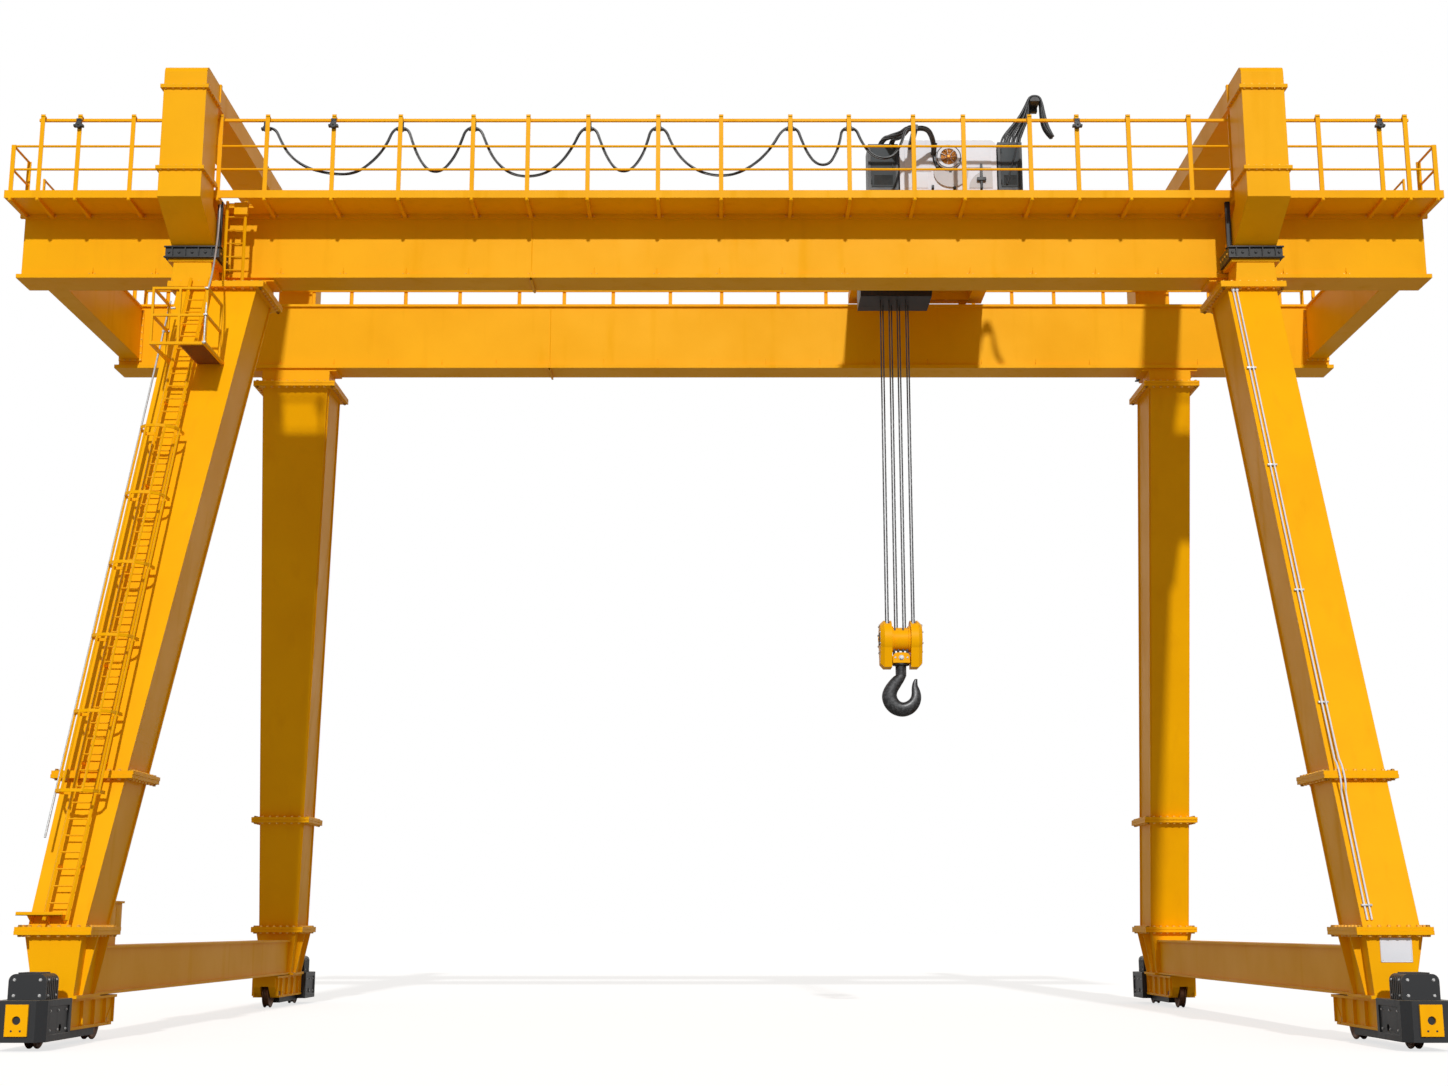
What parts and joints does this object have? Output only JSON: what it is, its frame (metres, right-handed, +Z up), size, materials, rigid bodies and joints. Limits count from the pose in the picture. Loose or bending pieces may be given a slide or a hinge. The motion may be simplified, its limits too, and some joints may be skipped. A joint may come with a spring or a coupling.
{
  "type": "gantry crane",
  "caption": "Double box-girder gantry crane on splayed legs with portal frames, railed walkways, festoon cable, travelling hoist trolley and hook block.",
  "frame": {"origin": "on the rail top, midway between the girder ends and midway between the front and rear bogies", "axes": "+X along the girders to the right, +Y from front to rear, +Z up"},
  "size_m": [30.9, 21.68, 20.445],
  "materials": {
    "black_paint": "satin",
    "cable_rubber": "matt",
    "hook_steel": "satin",
    "rail_steel": "worn",
    "rope_steel": "greased",
    "wheel_steel": "worn",
    "white_paint": "satin",
    "yellow_paint": "gloss"
  },
  "bodies": {
    "gantry": {"bogie_frames": "yellow_paint", "bogie_guards": "black_paint", "bumper_plates": "yellow_paint", "cabinet": "yellow_paint", "cable_anchor": "black_paint", "drive_heads": "black_paint", "drive_motors": "black_paint", "end_railings": "yellow_paint", "end_ties": "yellow_paint", "end_walkways": "yellow_paint", "festoon_cable": "cable_rubber", "festoon_rail": "yellow_paint", "girder_front": "yellow_paint", "girder_rear": "yellow_paint", "ladder": "yellow_paint", "ladder_landing": "yellow_paint", "leg_bases": "yellow_paint", "leg_heads": "yellow_paint", "legs_lower": "yellow_paint", "legs_upper": "yellow_paint", "portal_beams": "yellow_paint", "portal_columns": "yellow_paint", "portal_knees": "yellow_paint", "portal_pads": "black_paint", "railing_front": "yellow_paint", "railing_rear": "yellow_paint", "short_ladder": "yellow_paint", "sills": "yellow_paint", "trolley_rails": "rail_steel", "walkways": "yellow_paint"},
    "trolley": {"trolley_frame": "yellow_paint", "hoist_housing": "white_paint", "trolley_cabinets": "black_paint", "hoist_drum": "black_paint", "cable_mast": "black_paint", "tow_arm": "black_paint", "upper_block": "black_paint", "hoist_ropes": "rope_steel", "motor_bell": "white_paint", "mast_cable": "cable_rubber"},
    "hook_block": {"block_guards": "yellow_paint", "block_cover": "yellow_paint", "block_trunnion": "yellow_paint"},
    "hook": {"hook": "hook_steel"},
    "wheel_left_front_inner": {"wheel_left_front_inner": "wheel_steel"},
    "wheel_left_front_outer": {"wheel_left_front_outer": "wheel_steel"},
    "wheel_left_rear_inner": {"wheel_left_rear_inner": "wheel_steel"},
    "wheel_left_rear_outer": {"wheel_left_rear_outer": "wheel_steel"},
    "wheel_right_front_inner": {"wheel_right_front_inner": "wheel_steel"},
    "wheel_right_front_outer": {"wheel_right_front_outer": "wheel_steel"},
    "wheel_right_rear_inner": {"wheel_right_rear_inner": "wheel_steel"},
    "wheel_right_rear_outer": {"wheel_right_rear_outer": "wheel_steel"}
  },
  "joints": [
    {"name": "trolley_travel", "type": "slide", "parent": "gantry", "child": "trolley", "axis": [1, 0, 0], "range_m": [-9.6, 3.45], "deforming": ["festoon_cable"]},
    {"name": "hook_lift", "type": "slide", "parent": "trolley", "child": "hook_block", "axis": [0, 0, 1], "range_m": [-6.4, 7.6], "deforming": ["hoist_ropes"]},
    {"name": "hook_swivel", "type": "hinge", "parent": "hook_block", "child": "hook", "pos_m": [4.06, 0, 7.97], "axis": [0, 0, 1], "continuous": true},
    {"name": "wheel_left_front_inner_roll", "type": "hinge", "parent": "gantry", "child": "wheel_left_front_inner", "pos_m": [-11.77, -7.075, 0.35], "axis": [1, 0, 0], "continuous": true},
    {"name": "wheel_left_front_outer_roll", "type": "hinge", "parent": "gantry", "child": "wheel_left_front_outer", "pos_m": [-11.77, -9.925, 0.35], "axis": [1, 0, 0], "continuous": true},
    {"name": "wheel_left_rear_inner_roll", "type": "hinge", "parent": "gantry", "child": "wheel_left_rear_inner", "pos_m": [-11.77, 7.075, 0.35], "axis": [1, 0, 0], "continuous": true},
    {"name": "wheel_left_rear_outer_roll", "type": "hinge", "parent": "gantry", "child": "wheel_left_rear_outer", "pos_m": [-11.77, 9.925, 0.35], "axis": [1, 0, 0], "continuous": true},
    {"name": "wheel_right_front_inner_roll", "type": "hinge", "parent": "gantry", "child": "wheel_right_front_inner", "pos_m": [11.77, -7.075, 0.35], "axis": [1, 0, 0], "continuous": true},
    {"name": "wheel_right_front_outer_roll", "type": "hinge", "parent": "gantry", "child": "wheel_right_front_outer", "pos_m": [11.77, -9.925, 0.35], "axis": [1, 0, 0], "continuous": true},
    {"name": "wheel_right_rear_inner_roll", "type": "hinge", "parent": "gantry", "child": "wheel_right_rear_inner", "pos_m": [11.77, 7.075, 0.35], "axis": [1, 0, 0], "continuous": true},
    {"name": "wheel_right_rear_outer_roll", "type": "hinge", "parent": "gantry", "child": "wheel_right_rear_outer", "pos_m": [11.77, 9.925, 0.35], "axis": [1, 0, 0], "continuous": true}
  ]
}
